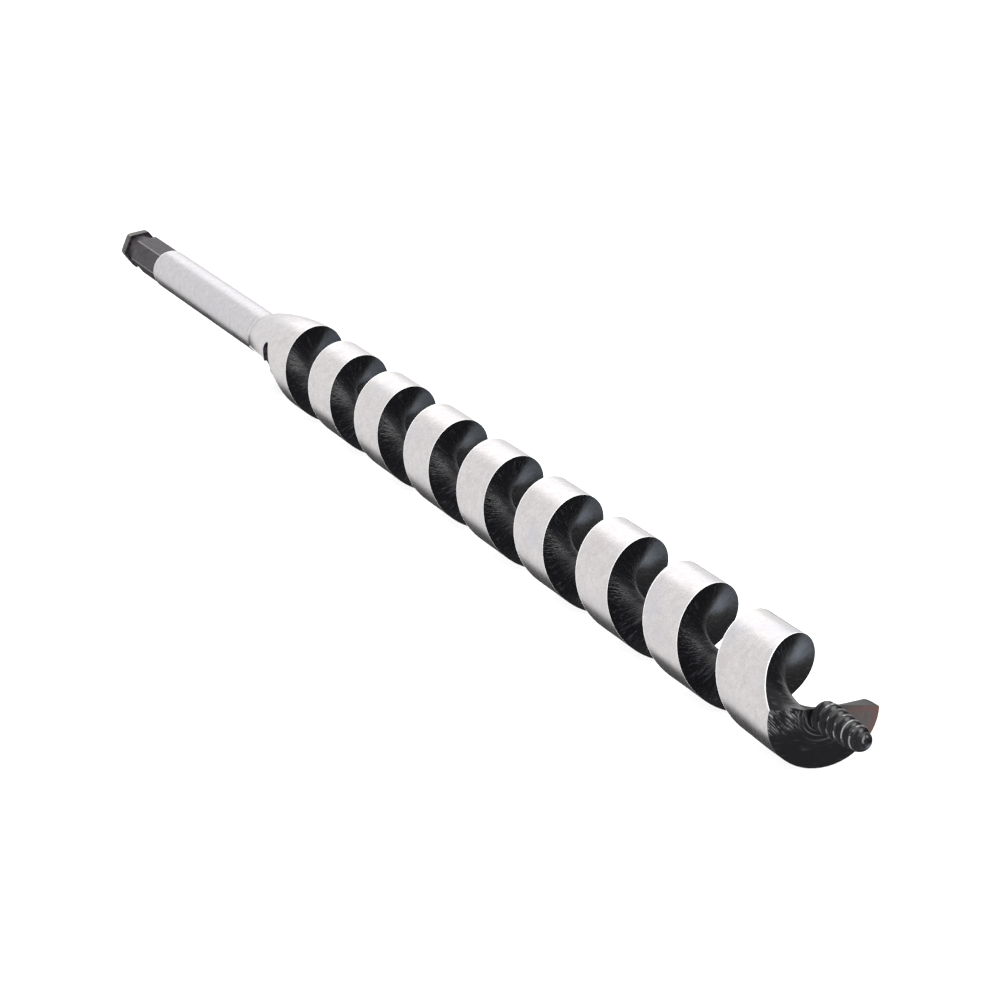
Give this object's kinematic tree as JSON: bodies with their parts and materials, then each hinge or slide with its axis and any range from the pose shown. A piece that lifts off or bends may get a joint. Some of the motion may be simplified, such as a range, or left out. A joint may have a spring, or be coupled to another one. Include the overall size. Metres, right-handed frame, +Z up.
{
  "type": "ship auger bit",
  "caption": "Long single-twist auger bit for wood with a hexagonal drive end, round stem, domed neck, ground spiral lands, one cutting lip and a tapered feed screw.",
  "frame": {"origin": "on the bit's axis, at the end face of the drive hexagon", "axes": "+X along the axis to the feed screw, +Z up with the bit lying down, cutting lip towards +Y"},
  "size_m": [0.457, 0.0252, 0.0249],
  "materials": {
    "black_steel": "blackened, satin to glossy",
    "ground_steel": "ground bright"
  },
  "bodies": {
    "root": {"hex_shank": "black_steel", "stem": "ground_steel", "twist": "ground_steel", "feed_screw": "black_steel"}
  },
  "joints": []
}
